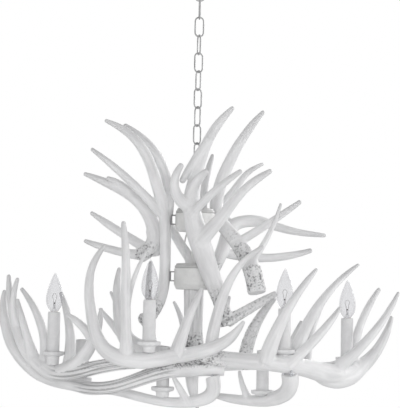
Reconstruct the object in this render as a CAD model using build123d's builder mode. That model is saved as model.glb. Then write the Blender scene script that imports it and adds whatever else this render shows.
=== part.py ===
import os
from math import cos, hypot, sin, tau

from build123d import *

os.makedirs("parts", exist_ok=True)

# heights in millimetres below the ceiling
first_link_height = -73.8
lower_hub_height = -615.0

# chain
link_count = 11
link_pitch = 36.6
link_width = 20.0
wire = 2.8
wire_chamfer = 0.8
link_gap = 0.3
link_length = link_pitch + link_gap + 2 * wire
link_reach = link_length / 2 - wire / 2
eye_width = 24.0

# canopy
canopy_radius = 60.0
canopy_depth = 28.0
canopy_lip = 9.0
canopy_floor_radius = 36.0
canopy_wall = 1.2
crossbar_length = 100.0
crossbar_width = 18.0
crossbar_thickness = 3.0
ceiling_hole_spacing = 70.0
ceiling_hole_radius = 2.6
thread_radius = 5.0
collar_radius = 9.0
canopy_sides = 36
thread_sides = 12

# hubs and column, heights from the lower hub's centre
hub_radius = 40.0
hub_bevel = 5.5
hub_sides = 36
upper_hub_span = (89.0, 135.0)
lower_hub_span = (-27.0, 25.0)
base_hub_span = (-190.0, -140.0)
pipe_radius = 6.5
pipe_bore = 4.5
post_radius = 21.0
flute_count = 9
flute_radius = 3.0
strap_out = 8.0
strap_width = 14.0
strap_height = 20.0
strap_thickness = 2.0
strap_heights = (112.0, -1.0)
lead_radius = 1.5
stud_radius = 3.0
stud_length = 30.0
clamp_screw_radius = 2.5
clamp_head_radius = 4.5
clamp_head_height = 2.5

# candles
round_sides = 16
pan_radius = 22.0
pan_depth = 8.0
pan_wall = 1.6
pan_floor_radius = 15.0
neck_radius = 12.0
sleeve_radius = 12.5
sleeve_bore = 11.3
sleeve_height = 84.0
socket_radius = 10.0
socket_bore = 7.4
socket_floor = 50.0
nipple_depth = 8.0
nipple_bore = 3.5
nipple_sides = 8
bulb_sides = 12
bulb_wall = 0.9
bulb_base_radius = 7.0
bulb_base_height = 24.0

# each candle: its place beside the column, its pan's rim height, and the neck under the pan
candles = {
    "left": (-274, -29, -154, 27),
    "front_left": (-82, -144, -127, 21),
    "front_right": (175, -104, -138, 15),
    "right": (309, 19, -155, 14),
    "low_front": (-56, -67, -216, 20),
    "low_right": (139, -27, -221, 11),
    "low_rear": (-227, 76, -210, 12),
}
lit_candles = ("left", "front_left", "front_right", "right")


def above_hub(height):
    return lower_hub_height + height


# the corners of a flat-sided section
def section(plane, radius, sides):
    corners = []
    for number in range(sides):
        angle = tau * number / sides
        corners.append(plane.from_local_coords(Vector(radius * cos(angle), radius * sin(angle), 0)))
    return corners


# a solid skinned with flat panels from section to section
def skinned(sections):
    panels = [Face(Wire.make_polygon(sections[0])), Face(Wire.make_polygon(sections[-1]))]
    for low, high in zip(sections, sections[1:]):
        for a, b, c, d in zip(low, low[1:] + low[:1], high[1:] + high[:1], high):
            if abs((b - a).cross(c - a).dot(d - a)) < 1e-6:
                panels.append(Face(Wire.make_polygon([a, b, c, d])))
            else:
                panels.append(Face(Wire.make_polygon([a, b, c])))
                panels.append(Face(Wire.make_polygon([a, c, d])))
    return Solid(Shell(panels))


# one length of antler, with its radii at even steps from root to tip
def limb(points, radii, sides):
    path = Spline(*[Vector(x, y, above_hub(z)) for x, y, z in points])
    sections = []
    for step, radius in enumerate(radii):
        along = step / (len(radii) - 1)
        heading = path.tangent_at(along)
        across = heading.cross(Vector(0, 1, 0.3))
        sections.append(section(Plane(path.position_at(along), across, heading), radius, sides))
    return skinned(sections)


# a beam and its tines, grown as one solid
def antler(beam, *tines):
    limbs = [limb(*beam, sides=8)]
    for tine in tines:
        limbs.append(limb(*tine, sides=6))
    with BuildPart() as whole:
        for grown in limbs:
            add(grown)
    return whole.part


# a turned form with flat sides: its radii and heights from the bottom up
def turned(stations, sides):
    return skinned([section(Plane.XY.offset(height), radius, sides) for radius, height in stations])


# a link or an eye bent from wire, standing in the plane of X and Z
def wire_ring(length, width):
    with BuildPart() as ring:
        with BuildSketch(Plane.XZ):
            with Locations((0, length / 2 - width / 2), (0, width / 2 - length / 2)):
                RegularPolygon(width / 2, 12, major_radius=False, rotation=15)
            make_hull()
            offset(amount=-wire, kind=Kind.INTERSECTION, mode=Mode.SUBTRACT)
        extrude(amount=wire / 2, both=True)
        sides = ring.faces().sort_by(Axis.Y)
        chamfer(sides[0].edges() + sides[-1].edges(), wire_chamfer)
    return ring.part


# a drum turned with bevelled shoulders, bored for the pipe
def drum(span):
    bottom, top = span
    shoulders = [
        (hub_radius - hub_bevel, above_hub(bottom)),
        (hub_radius, above_hub(bottom + hub_bevel)),
        (hub_radius, above_hub(top - hub_bevel)),
        (hub_radius - hub_bevel, above_hub(top)),
    ]
    with BuildPart() as turned_drum:
        add(turned(shoulders, hub_sides))
        with BuildSketch(Plane.XY.offset(above_hub(bottom))):
            Circle(pipe_radius)
        extrude(amount=top - bottom, mode=Mode.SUBTRACT)
    return turned_drum.part


# a headless stud, centred on one point and aimed at another
def stud(centre, target):
    start = Vector(centre[0], centre[1], above_hub(centre[2]))
    aim = Vector(target[0], target[1], above_hub(target[2])) - start
    with BuildPart() as threaded:
        with BuildSketch(Plane(start, z_dir=aim)):
            RegularPolygon(stud_radius, 8)
        extrude(amount=stud_length / 2, both=True)
    return threaded.part


# canopy: a spun cup with its centre hole, and the bar that it hides
cup_outside = [(canopy_floor_radius, -canopy_depth), (canopy_radius, -canopy_lip), (canopy_radius, 0)]
cup_inside = [
    (canopy_floor_radius - canopy_wall / 2, canopy_wall - canopy_depth),
    (canopy_radius - canopy_wall, canopy_wall / 2 - canopy_lip),
    (canopy_radius - canopy_wall, 0),
]
with BuildPart() as ceiling_canopy:
    add(turned(cup_outside, canopy_sides))
    add(turned(cup_inside, canopy_sides), mode=Mode.SUBTRACT)
    with BuildSketch(Plane.XY.offset(-canopy_depth)):
        RegularPolygon(thread_radius, thread_sides)
    extrude(amount=canopy_depth, mode=Mode.SUBTRACT)

with BuildPart() as mounting_crossbar:
    with BuildSketch() as bar:
        Rectangle(crossbar_length, crossbar_width)
        chamfer(bar.vertices(), crossbar_width / 3)
        RegularPolygon(thread_radius, thread_sides, mode=Mode.SUBTRACT)
        with Locations((-ceiling_hole_spacing / 2, 0), (ceiling_hole_spacing / 2, 0)):
            Circle(ceiling_hole_radius, mode=Mode.SUBTRACT)
    extrude(amount=-crossbar_thickness)

# the eye under the canopy, on the threaded stem that goes up into the bar
eye_wire_height = first_link_height + link_reach - wire - link_gap
canopy_eye = Pos(0, 0, eye_wire_height - wire / 2 + eye_width / 2) * wire_ring(eye_width, eye_width)
eye_top = eye_wire_height - wire / 2 + eye_width
with BuildPart() as canopy_loop:
    add(canopy_eye)
    with BuildSketch(Plane.XY.offset(eye_top - wire)):
        RegularPolygon(collar_radius, thread_sides)
    extrude(amount=-canopy_depth - eye_top + wire)
    with BuildSketch(Plane.XY.offset(-canopy_depth)):
        RegularPolygon(thread_radius, thread_sides)
    extrude(amount=canopy_depth)

# chain: odd links hang edge-on to the front, even ones face it
plain_link = wire_ring(link_length, link_width)
chain_links = {}
for number in range(1, link_count + 1):
    height = first_link_height - (number - 1) * link_pitch
    turn = 90 * (number % 2)
    chain_links[f"chain_link_{number:02d}"] = Pos(0, 0, height) * Rot(0, 0, turn) * plain_link

# the fixture's own eye, screwed on the pipe above the upper hub
last_link_height = first_link_height - (link_count - 1) * link_pitch
hub_eye_top = last_link_height - link_reach + wire + link_gap + wire / 2
hub_eye = Pos(0, 0, hub_eye_top - eye_width / 2) * wire_ring(eye_width, eye_width)
hub_top = above_hub(upper_hub_span[1])
with BuildPart() as hub_loop:
    add(hub_eye)
    with BuildSketch(Plane.XY.offset(hub_top)):
        RegularPolygon(collar_radius, thread_sides)
    extrude(amount=hub_eye_top - eye_width + wire - hub_top)
    with BuildSketch(Plane.XY.offset(hub_top)):
        RegularPolygon(pipe_bore, thread_sides)
    extrude(amount=-2 * collar_radius)

with BuildPart() as stem_pipe:
    with BuildSketch(Plane.XY.offset(above_hub(base_hub_span[0]))):
        Circle(pipe_radius)
        Circle(pipe_bore, mode=Mode.SUBTRACT)
    extrude(amount=hub_top - above_hub(base_hub_span[0]))

# the fluted post between the lower hub and the hidden base hub
with BuildPart() as lower_post:
    with BuildSketch(Plane.XY.offset(above_hub(base_hub_span[1]))):
        RegularPolygon(post_radius, hub_sides)
        with PolarLocations(post_radius + flute_radius / 3, flute_count):
            RegularPolygon(flute_radius, 6, mode=Mode.SUBTRACT)
        Circle(pipe_radius, mode=Mode.SUBTRACT)
    extrude(amount=lower_hub_span[0] - base_hub_span[1])

# the lead that shows between the two upper hubs
lead_run = limb([(-15, -16, 90), (-20, -24, 70), (-22, -25, 46), (-16, -17, 24)], [lead_radius] * 8, sides=6)

# studs that hold the antlers on the hubs: a hub's contact height and the antler's place there
hub_contacts = [
    (116, -4, -57),
    (15, 16, -56),
    (125, 44, 29),
    (100, 20, 50),
    (14, 5, 51),
    (6, 33, 38),
    (-176, 8, -53),
    (-155, 8, -53),
    (-158, -6, 50),
    (-174, 24, 48),
]
# studs between two antlers: the points where their middles are nearest
antler_contacts = [
    ((-83, 18, 72), (-59, 4, 72)),
    ((34, -80, -143), (38, -57, -155)),
    ((-112, -122, -168), (-110, -150, -163)),
    ((-264, -32, -196), (-265, -9, -213)),
    ((42, -54, -206), (36, -50, -179)),
    ((176, -100, -192), (176, -106, -160)),
]
studs = []
for height, x, y in hub_contacts:
    reach = hub_radius / hypot(x, y)
    studs.append(stud((x * reach, y * reach, height), (x * 2, y * 2, height)))
for first, second in antler_contacts:
    middle = tuple((a + b) / 2 for a, b in zip(first, second))
    studs.append(stud(middle, second))
studs.append(stud((0, 0, base_hub_span[0] - 10), (0, 0, base_hub_span[0] - 40)))
with BuildPart() as antler_studs:
    for threaded in studs:
        add(threaded)

# the one screw that shows, through the low right antler into the front right one
clamp_axis = Plane(Vector(189, -120, above_hub(-184)), z_dir=(0, 0.6, 0.8))
with BuildPart() as clamp_screw:
    with BuildSketch(clamp_axis):
        Circle(clamp_screw_radius)
    extrude(amount=stud_length)
    with BuildSketch(clamp_axis):
        Circle(clamp_head_radius)
    extrude(amount=-clamp_head_height)

upper_hub = drum(upper_hub_span)
lower_hub = drum(lower_hub_span)
base_hub = drum(base_hub_span)
with BuildPart() as hub_lead:
    add(lead_run)
    add(upper_hub, mode=Mode.SUBTRACT)
    add(lower_hub, mode=Mode.SUBTRACT)

# thin bent straps that stand the tall left antler off the two upper hubs
with BuildPart() as hub_straps:
    for height in strap_heights:
        with BuildSketch(Plane.XZ.offset(-strap_width / 2)):
            with Locations((-hub_radius, above_hub(height))):
                strap = Rectangle(2 * strap_out, strap_height)
                offset(strap, amount=-strap_thickness, mode=Mode.SUBTRACT)
        extrude(amount=strap_width)
    for span in (upper_hub_span, lower_hub_span):
        with BuildSketch(Plane.XY.offset(above_hub(span[0]))):
            RegularPolygon(hub_radius, hub_sides)
        extrude(amount=span[1] - span[0], mode=Mode.SUBTRACT)


# the pan, its rolled rim and its neck, bored for the candle's nipple
def drip_pan(x, y, rim, neck):
    outside = [
        (neck_radius, above_hub(rim - neck)),
        (neck_radius, above_hub(rim - pan_depth - 1)),
        (pan_floor_radius, above_hub(rim - pan_depth)),
        (pan_radius - 1, above_hub(rim - 2)),
        (pan_radius, above_hub(rim - 1)),
        (pan_radius - 1, above_hub(rim)),
    ]
    inside = [
        (sleeve_radius + 0.6, above_hub(rim - pan_depth + pan_wall)),
        (pan_floor_radius - pan_wall / 2, above_hub(rim - pan_depth + pan_wall + 0.4)),
        (pan_radius - 1 - pan_wall, above_hub(rim)),
    ]
    with BuildPart() as pan:
        add(turned(outside, round_sides))
        add(turned(inside, round_sides), mode=Mode.SUBTRACT)
        with BuildSketch(Plane.XY.offset(above_hub(rim - neck))):
            RegularPolygon(thread_radius, 8)
        extrude(amount=neck, mode=Mode.SUBTRACT)
    return Pos(x, y, 0) * pan.part


def tube(x, y, bottom, height, radius, bore, sides):
    with BuildPart() as wall:
        with BuildSketch(Plane.XY.offset(above_hub(bottom))):
            RegularPolygon(radius, sides)
            RegularPolygon(bore, sides, mode=Mode.SUBTRACT)
        extrude(amount=height)
    return Pos(x, y, 0) * wall.part


# a solid round of flat sides
def peg(x, y, bottom, height, radius, sides):
    with BuildPart() as turned_peg:
        with BuildSketch(Plane.XY.offset(above_hub(bottom))):
            RegularPolygon(radius, sides)
        extrude(amount=height)
    return Pos(x, y, 0) * turned_peg.part


# the clear glass of a candle bulb, blown hollow, from its neck to its drawn tip
def bulb_glass(x, y, bottom):
    swell = [(6.8, 0), (14, 12), (16, 24), (14.6, 38), (10.5, 54), (4.6, 69), (1.6, 75)]
    outside = [(radius, above_hub(bottom + height)) for radius, height in swell]
    inside = [(radius - bulb_wall, height + bulb_wall) for radius, height in outside[:-1]]
    with BuildPart() as glass:
        add(turned(outside, bulb_sides))
        add(turned(inside, bulb_sides), mode=Mode.SUBTRACT)
    return Pos(x, y, 0) * glass.part


drip_pans = {}
candle_sleeves = {}
bulbs = {}
nipple_parts = []
socket_parts = []
base_parts = []
candle_spaces = []
for place, (x, y, rim, neck) in candles.items():
    dish = rim - pan_depth + pan_wall
    floor = dish + socket_floor
    sleeve_top = dish + sleeve_height
    seat = rim - neck
    drip_pans[place] = drip_pan(x, y, rim, neck)
    candle_sleeves[place] = tube(x, y, dish, sleeve_height, sleeve_radius, sleeve_bore, round_sides)
    nipple_foot = seat - nipple_depth
    nipple_parts.append(
        tube(x, y, nipple_foot, floor - nipple_foot, thread_radius, nipple_bore, nipple_sides)
    )
    socket_parts.append(
        tube(x, y, floor, sleeve_top - floor, socket_radius, socket_bore, bulb_sides)
        + peg(x, y, floor, sleeve_top - bulb_base_height - floor, socket_radius, bulb_sides)
    )
    candle_spaces.append(
        peg(x, y, seat, neck, neck_radius + 0.5, bulb_sides)
        + peg(x, y, nipple_foot, nipple_depth, thread_radius, nipple_sides)
        + peg(x, y, rim - pan_depth - 1, sleeve_height, pan_radius + 0.5, round_sides)
    )
    if place in lit_candles:
        base_foot = sleeve_top - bulb_base_height
        bulbs[place] = bulb_glass(x, y, sleeve_top)
        base_parts.append(peg(x, y, base_foot, bulb_base_height, bulb_base_radius, bulb_sides))

with BuildPart() as candle_nipples:
    for nipple in nipple_parts:
        add(nipple)
with BuildPart() as lamp_sockets:
    for socket in socket_parts:
        add(socket)
with BuildPart() as bulb_bases:
    for base in base_parts:
        add(base)

# antlers, roots first, each with its beam and then its tines
front_center = antler(
    ([(67, -40, -95), (54, -44, -52), (32, -51, 5), (8, -58, 73), (-8, -56, 140), (-2, -54, 188),
      (24, -55, 270), (69, -75, 329)],
     [16, 15.5, 19, 21.5, 21, 17, 13.5, 11, 9.5, 4]),
    ([(-12, -58, 132), (-42, -72, 173), (-29, -86, 213)], [13.5, 11, 8.5, 5.5]),
    ([(-7, -60, 163), (4, -74, 186), (19, -86, 201)], [11.5, 9.5, 6.2]),
    ([(22, -55, 266), (-12, -62, 212), (-27, -66, 184)], [8.5, 8.8, 7.8, 6.2]),
    ([(0, -70, 127), (43, -94, 169), (86, -104, 202)], [9, 8, 7, 4.6]),
    ([(14, -66, 70), (56, -82, 120), (97, -94, 170), (144, -100, 204)], [15.5, 13, 10, 8, 4.6]),
    ([(66, -42, -88), (116, -35, -59), (161, -30, -32)], [12.8, 10.5, 9, 5.9]),
    ([(58, -44, -76), (64, -45, -58), (70, -46, -40)], [8, 6, 3.5]),
)
left_tall = antler(
    ([(-98, -45, -93), (-68, -18, -52), (-59, 1, 0), (-59, 4, 60), (-62, 4, 120), (-78, -5, 181),
      (-119, -25, 265), (-182, -38, 304)],
     [14, 12, 11.5, 11.5, 11.8, 12.8, 12, 10.5, 8, 3.5]),
    ([(-60, 6, 109), (-54, 14, 160), (-74, 24, 232), (-148, 32, 304)], [12, 11, 10.5, 9, 5.3]),
    ([(-69, 5, 124), (-119, -12, 175), (-209, -25, 248)], [11, 9, 7.5, 3.6]),
)
left_upper = antler(
    ([(-110, 18, 38), (-83, 17, 68), (-88, 28, 110), (-128, 44, 159), (-189, 56, 191), (-230, 62, 207)],
     [15, 16.5, 15, 12.5, 11, 8.5, 3.7]),
    ([(-95, 22, 53), (-158, 50, 91), (-214, 64, 127)], [11, 9.5, 8, 3.7]),
    ([(-102, 20, 40), (-186, 52, 56), (-225, 62, 69)], [11, 9, 7.5, 3.7]),
    ([(-126, 44, 159), (-155, 42, 186), (-181, 40, 197)], [9, 7, 4]),
)
right_tall = antler(
    ([(125, -36, -31), (105, -16, 37), (63, 16, 96), (44, 29, 128), (44, 38, 165), (66, 40, 233),
      (134, 30, 338)],
     [18.7, 18.5, 16, 14.3, 14, 13, 11.5, 9, 4]),
    ([(83, 0, 67), (133, -6, 99), (208, -14, 152)], [10, 8.5, 7, 4.4]),
    ([(110, -22, 25), (152, -26, 97), (169, -28, 146)], [7.5, 6, 4.5, 2.6]),
)
right_rear = antler(
    ([(32, 38, 6), (56, 63, 53), (80, 90, 109), (131, 108, 119), (183, 118, 106), (273, 128, 94)],
     [13.5, 14, 15, 13, 9.5, 7, 3.8]),
    ([(56, 66, 53), (144, 96, 43), (242, 108, 61)], [11.3, 10, 8.5, 4.8]),
    ([(70, 83, 96), (69, 110, 155), (87, 120, 181)], [11, 9, 6, 3]),
)
rear_upper = antler(
    ([(4, 51, 0), (12, 51, 56), (20, 50, 100), (68, 74, 165), (109, 92, 221), (138, 98, 239)],
     [13.5, 14.5, 14.5, 12, 9, 6.5, 3.1]),
    ([(16, 52, 96), (20, 66, 200), (33, 72, 252)], [12, 9.5, 7.5, 4]),
    ([(4, 52, 20), (-52, 70, 104), (-76, 78, 152)], [11.3, 10.5, 9, 5.4]),
    ([(13, 54, 60), (-18, 118, 120), (-33, 140, 151)], [10, 8.5, 6.5, 4.2]),
)
left_outer = antler(
    ([(63, -46, -178), (-14, -60, -181), (-61, -96, -187), (-141, -106, -214), (-232, -35, -218),
      (-316, 27, -196), (-370, 45, -131), (-387, 53, -69), (-386, 57, -37)],
     [16.5, 17, 16, 14.5, 13, 12.5, 12, 12, 13, 14, 10.5, 3.6]),
)
left_inner = antler(
    ([(-80, -112, -165), (-114, -122, -168), (-191, -88, -182), (-265, -32, -195), (-324, 7, -164),
      (-365, 28, -75), (-375, 35, -6)],
     [12.5, 13.3, 14.2, 15, 17, 14.5, 11, 8, 4]),
    ([(-255, -39, -193), (-206, -79, -156), (-181, -95, -100), (-177, -91, -68)], [16.5, 15, 12.5, 8, 3.1]),
    ([(-190, -90, -130), (-213, -77, -104), (-246, -63, -80)], [11.5, 8, 3.5]),
    ([(-355, 23, -105), (-361, 13, -50), (-353, 7, -12)], [10, 7, 5.5, 3.4]),
    ([(-291, -14, -187), (-296, 5, -131), (-347, 27, -32)], [13, 9.5, 7.5, 3.6]),
    ([(-312, 1, -178), (-335, 1, -111), (-352, 5, -54)], [13, 9, 6.5, 3.4]),
    ([(-244, -39, -190), (-242, -15, -131), (-266, 11, -39)], [13, 10.5, 8, 3.6]),
)
front_left = antler(
    ([(98, -95, -86), (57, -84, -130), (10, -80, -148), (-42, -114, -157), (-110, -150, -163),
      (-161, -142, -147), (-194, -126, -74), (-195, -114, 10), (-172, -106, 53)],
     [3, 10.5, 13.5, 14.3, 14.5, 15.5, 16, 14.5, 12, 10.5, 9, 7, 3.5]),
    ([(-31, -106, -153), (-4, -106, -71), (16, -98, -26)], [15, 11, 8, 3.5]),
    ([(-123, -150, -158), (-127, -146, -50), (-130, -140, 40), (-136, -136, 96)], [14, 10, 9, 9, 7.5, 4.4]),
    ([(-116, -138, -150), (-120, -116, -31), (-91, -106, 45)], [9, 5.5, 4.5, 2.3]),
)
front_right = antler(
    ([(8, -52, -154), (92, -90, -162), (150, -112, -164), (210, -89, -172), (296, 4, -188),
      (354, 56, -165), (393, 75, -113), (407, 78, -73)],
     [14.5, 15.7, 16.2, 17, 18.5, 20.5, 21, 16, 10, 3.7]),
    ([(36, -62, -148), (48, -80, -70), (84, -97, 15), (131, -108, 57)], [13.7, 12, 10.5, 8.5, 6, 3.5]),
    ([(140, -116, -159), (168, -143, -82), (234, -113, 15)], [17, 13, 9.5, 7, 3.4]),
    ([(193, -85, -167), (221, -54, -95), (277, -23, -15), (328, 0, 30)], [17, 13, 11, 8.5, 6, 2.8]),
    ([(186, -108, -162), (234, -95, -119), (285, -65, -57)], [13, 10, 8, 3.5]),
    ([(322, 32, -180), (335, 56, -108), (379, 64, -17)], [12, 9.5, 8, 3.8]),
    ([(291, -10, -173), (352, -6, -113), (414, 36, -24)], [14, 10, 8.5, 6.5, 3]),
)
bottom_left = antler(
    ([(40, -52, -196), (40, -58, -226), (-10, -66, -245), (-61, -64, -244), (-163, 8, -230),
      (-242, 90, -227), (-278, 120, -190)],
     [14.7, 14.2, 11, 9.5, 9.3, 9.2, 9.2, 8.9, 8.9, 8.7, 8, 3.7]),
    ([(-8, -68, -244), (-21, -76, -221), (-35, -82, -197)], [8, 6.5, 3.5]),
)
bottom_right = antler(
    ([(187, -102, -184), (188, -90, -208), (160, -48, -236), (97, 2, -243), (45, 24, -236)],
     [17, 16.5, 14, 11, 9, 5]),
    ([(115, -8, -244), (102, -2, -217), (94, 2, -187)], [8, 5.6, 3]),
)
rear_left = antler(
    ([(-6, 50, -158), (-81, 158, -162), (-139, 198, -136), (-162, 200, -69), (-161, 186, 17)],
     [20, 23, 23, 21, 15, 10, 3.8]),
    ([(-155, 202, -81), (-167, 207, -56), (-180, 213, -33)], [8.6, 6, 3]),
    ([(-148, 202, -131), (-175, 215, -102), (-203, 226, -70)], [10.3, 7.5, 3.2]),
    ([(-22, 71, -160), (-21, 63, -100), (-40, 55, -52)], [9, 6.5, 5.5, 2.9]),
    ([(-83, 160, -162), (-97, 200, -60), (-95, 213, 33)], [13, 10.5, 8, 3.8]),
)
rear_right = antler(
    ([(20, 47, -174), (78, 98, -173), (211, 152, -177), (291, 106, -179), (320, 72, -143), (316, 66, -98)],
     [17, 18, 18, 17.5, 16, 13, 8.5, 3.7]),
    ([(108, 116, -174), (118, 85, -120), (163, 42, -41)], [14.5, 14, 10, 5.3]),
    ([(194, 150, -176), (209, 144, -133), (227, 139, -88)], [11.5, 9, 3.8]),
    ([(151, 144, -174), (187, 170, -95), (226, 184, -29)], [11.5, 9, 7, 3.8]),
    ([(239, 139, -181), (259, 194, -90), (286, 220, -32)], [11.5, 9, 7, 3.6]),
)
finial_tine = antler(([(0, 0, -188), (2, -3, -220), (13, -13, -262)], [14.8, 12.5, 8, 2]))

# each antler is coped on what it seats against
column = [upper_hub, lower_hub, base_hub, stem_pipe.part, hub_straps.part, lower_post.part]
hardware = [antler_studs.part, clamp_screw.part]
antlers = {
    "antler_left_outer": left_outer,
    "antler_front_right": front_right,
    "antler_left_inner": left_inner,
    "antler_front_left": front_left,
    "antler_bottom_left": bottom_left,
    "antler_bottom_right": bottom_right,
    "antler_rear_left": rear_left,
    "antler_rear_right": rear_right,
    "antler_front_center": front_center,
    "antler_left_tall": left_tall,
    "antler_left_upper": left_upper,
    "antler_right_tall": right_tall,
    "antler_right_rear": right_rear,
    "antler_rear_upper": rear_upper,
    "antler_finial": finial_tine,
}


# whether two pieces' boxes reach into each other
def near(piece, other):
    a = piece.bounding_box()
    b = other.bounding_box()
    low = Vector(max(a.min.X, b.min.X), max(a.min.Y, b.min.Y), max(a.min.Z, b.min.Z))
    high = Vector(min(a.max.X, b.max.X), min(a.max.Y, b.max.Y), min(a.max.Z, b.max.Z))
    return low.X < high.X and low.Y < high.Y and low.Z < high.Z


coped = {}
for name, grown in antlers.items():
    with BuildPart() as fitted:
        add(grown)
        for other in column + hardware + candle_spaces + list(coped.values()):
            if near(grown, other):
                add(other, mode=Mode.SUBTRACT)
    coped[name] = fitted.part

# the studs' holes in the hubs
hubs = {}
for name, blank in (("upper_hub", upper_hub), ("lower_hub", lower_hub), ("base_hub", base_hub)):
    with BuildPart() as drilled:
        add(blank)
        add(antler_studs.part, mode=Mode.SUBTRACT)
    hubs[name] = drilled.part

nodes = {
    "ceiling_canopy": ceiling_canopy.part,
    "mounting_crossbar": mounting_crossbar.part,
    "canopy_loop": canopy_loop.part,
    "hub_loop": hub_loop.part,
    "stem_pipe": stem_pipe.part,
    "lower_post": lower_post.part,
    "hub_lead": hub_lead.part,
    "hub_straps": hub_straps.part,
    "antler_studs": antler_studs.part,
    "clamp_screw": clamp_screw.part,
    "candle_nipples": candle_nipples.part,
    "lamp_sockets": lamp_sockets.part,
    "bulb_bases": bulb_bases.part,
}
nodes.update(chain_links)
nodes.update(hubs)
nodes.update(coped)
nodes.update({f"drip_pan_{place}": pan for place, pan in drip_pans.items()})
nodes.update({f"candle_sleeve_{place}": sleeve for place, sleeve in candle_sleeves.items()})
nodes.update({f"bulb_{place}": glass for place, glass in bulbs.items()})
for name, solid in nodes.items():
    solid.label = name
    export_step(solid, f"parts/{name}.step")
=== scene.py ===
import math

import bmesh
import bpy
import numpy as np
from mathutils import Matrix, Vector, kdtree, noise


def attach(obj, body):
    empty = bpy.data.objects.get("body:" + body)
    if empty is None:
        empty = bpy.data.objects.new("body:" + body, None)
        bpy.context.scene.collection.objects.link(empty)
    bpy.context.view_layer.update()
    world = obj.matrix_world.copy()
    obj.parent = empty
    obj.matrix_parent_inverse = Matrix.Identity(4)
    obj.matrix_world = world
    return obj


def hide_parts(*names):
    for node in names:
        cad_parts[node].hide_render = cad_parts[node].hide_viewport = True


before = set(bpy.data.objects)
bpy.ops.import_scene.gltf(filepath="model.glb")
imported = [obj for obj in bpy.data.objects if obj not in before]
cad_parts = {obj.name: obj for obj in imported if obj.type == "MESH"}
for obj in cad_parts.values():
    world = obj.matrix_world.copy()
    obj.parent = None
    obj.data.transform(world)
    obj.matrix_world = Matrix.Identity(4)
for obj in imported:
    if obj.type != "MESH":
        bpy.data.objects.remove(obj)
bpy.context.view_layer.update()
mm = 0.001
hubHeight = -615  # the lower hub's centre, in mm below the ceiling; heights below count from it
print("frame loaded,", len(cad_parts), "nodes")


def plug(tree, value, slot):
    if isinstance(value, Signal):
        tree.links.new(value.socket, slot)
    else:
        slot.default_value = value


# sums on shader sockets, written as plain expressions
class Signal:
    def __init__(self, tree, socket):
        self.tree, self.socket = tree, socket

    def sum(self, operation, first, second):
        made = self.tree.nodes.new("ShaderNodeMath")
        made.operation = operation
        plug(self.tree, first, made.inputs[0])
        plug(self.tree, second, made.inputs[1])
        return Signal(self.tree, made.outputs[0])

    def __add__(self, other):
        return self.sum("ADD", self, other)

    def __radd__(self, other):
        return self.sum("ADD", other, self)

    def __rsub__(self, other):
        return self.sum("SUBTRACT", other, self)

    def __mul__(self, other):
        return self.sum("MULTIPLY", self, other)

    def __rmul__(self, other):
        return self.sum("MULTIPLY", other, self)


# any other node of a material or of the world
class NodeTree:
    def __init__(self, tree):
        self.tree = tree

    def node(self, kind, settings=None, values=None, out=0):
        made = self.tree.nodes.new(kind)
        for key, value in (settings or {}).items():
            setattr(made, key, value)
        for key, value in (values or {}).items():
            plug(self.tree, value, made.inputs[key])
        return Signal(self.tree, made.outputs[out])

    def show(self, ending, shader):
        plug(self.tree, shader, self.tree.nodes[ending].inputs["Surface"])


class Finish(NodeTree):
    def __init__(self, name, **plain):
        self.material = bpy.data.materials.new(name)
        self.material.use_nodes = True
        super().__init__(self.material.node_tree)
        self.shader = self.tree.nodes["Principled BSDF"]
        for socket, value in plain.items():
            self.feed(socket.replace("_", " "), value)

    def feed(self, socket, value):
        plug(self.tree, value, self.shader.inputs[socket])

    def place(self, scale=(1, 1, 1)):
        spot = self.node("ShaderNodeTexCoord", out="Object")
        return self.node("ShaderNodeMapping", None, {"Vector": spot, "Scale": scale})

    def cloud(self, scale, detail=3.0, where=None, rough=0.5):
        values = {"Scale": scale, "Detail": detail, "Roughness": rough, "Vector": where or self.place()}
        return self.node("ShaderNodeTexNoise", None, values)

    def clamped(self, signal, low, high):
        values = {"Value": signal, "From Min": low, "From Max": high}
        return self.node("ShaderNodeMapRange", {"clamp": True}, values)

    def tint(self, share, start, end):
        colours = {0: share, 6: (*start, 1), 7: (*end, 1)}
        self.feed("Base Color", self.node("ShaderNodeMix", {"data_type": "RGBA"}, colours, out=2))

    def bump(self, height, strength, distance):
        values = {"Height": height, "Strength": strength, "Distance": distance}
        self.feed("Normal", self.node("ShaderNodeBump", None, values))


# the whole lamp is painted white, over cast resin, metal and plastic
paints = {
    "antler": {"light": (0.84, 0.84, 0.845), "dark": (0.26, 0.26, 0.265), "rough": 0.42, "grain": 0.00025},
    "hub": {"light": (0.79, 0.79, 0.78), "dark": (0.68, 0.68, 0.67), "rough": 0.4, "peel": 420},
    # the hubs' top band is white too, painted greyer here as painted shade under the stepped top
    "band": {"light": (0.58, 0.58, 0.575), "dark": (0.42, 0.42, 0.415), "rough": 0.4, "peel": 420},
    # the chain and its loops are white, painted grey here as painted shade on the thin wires
    "chain": {"light": (0.50, 0.50, 0.505), "dark": (0.26, 0.26, 0.26), "rough": 0.34, "peel": 900},
    "pan": {"light": (0.78, 0.78, 0.785), "dark": (0.62, 0.62, 0.625), "rough": 0.36, "peel": 700},
    # the straps are white, painted dark grey here as painted shade where they hold the hubs
    "strap": {"light": (0.26, 0.26, 0.265), "dark": (0.14, 0.14, 0.14), "rough": 0.4, "peel": 900},
    # white paint, set a little greyer than the antlers' as painted shade on the upright sleeves
    "sleeve": {"light": (0.76, 0.76, 0.765), "dark": (0.66, 0.66, 0.665), "rough": 0.5, "peel": 260},
    "lead": {"light": (0.74, 0.74, 0.74), "dark": (0.5, 0.5, 0.5), "rough": 0.45, "peel": 1200},
    "socket": {"light": (0.10, 0.10, 0.10), "dark": (0.05, 0.05, 0.05), "rough": 0.4, "peel": 300},
}
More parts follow.
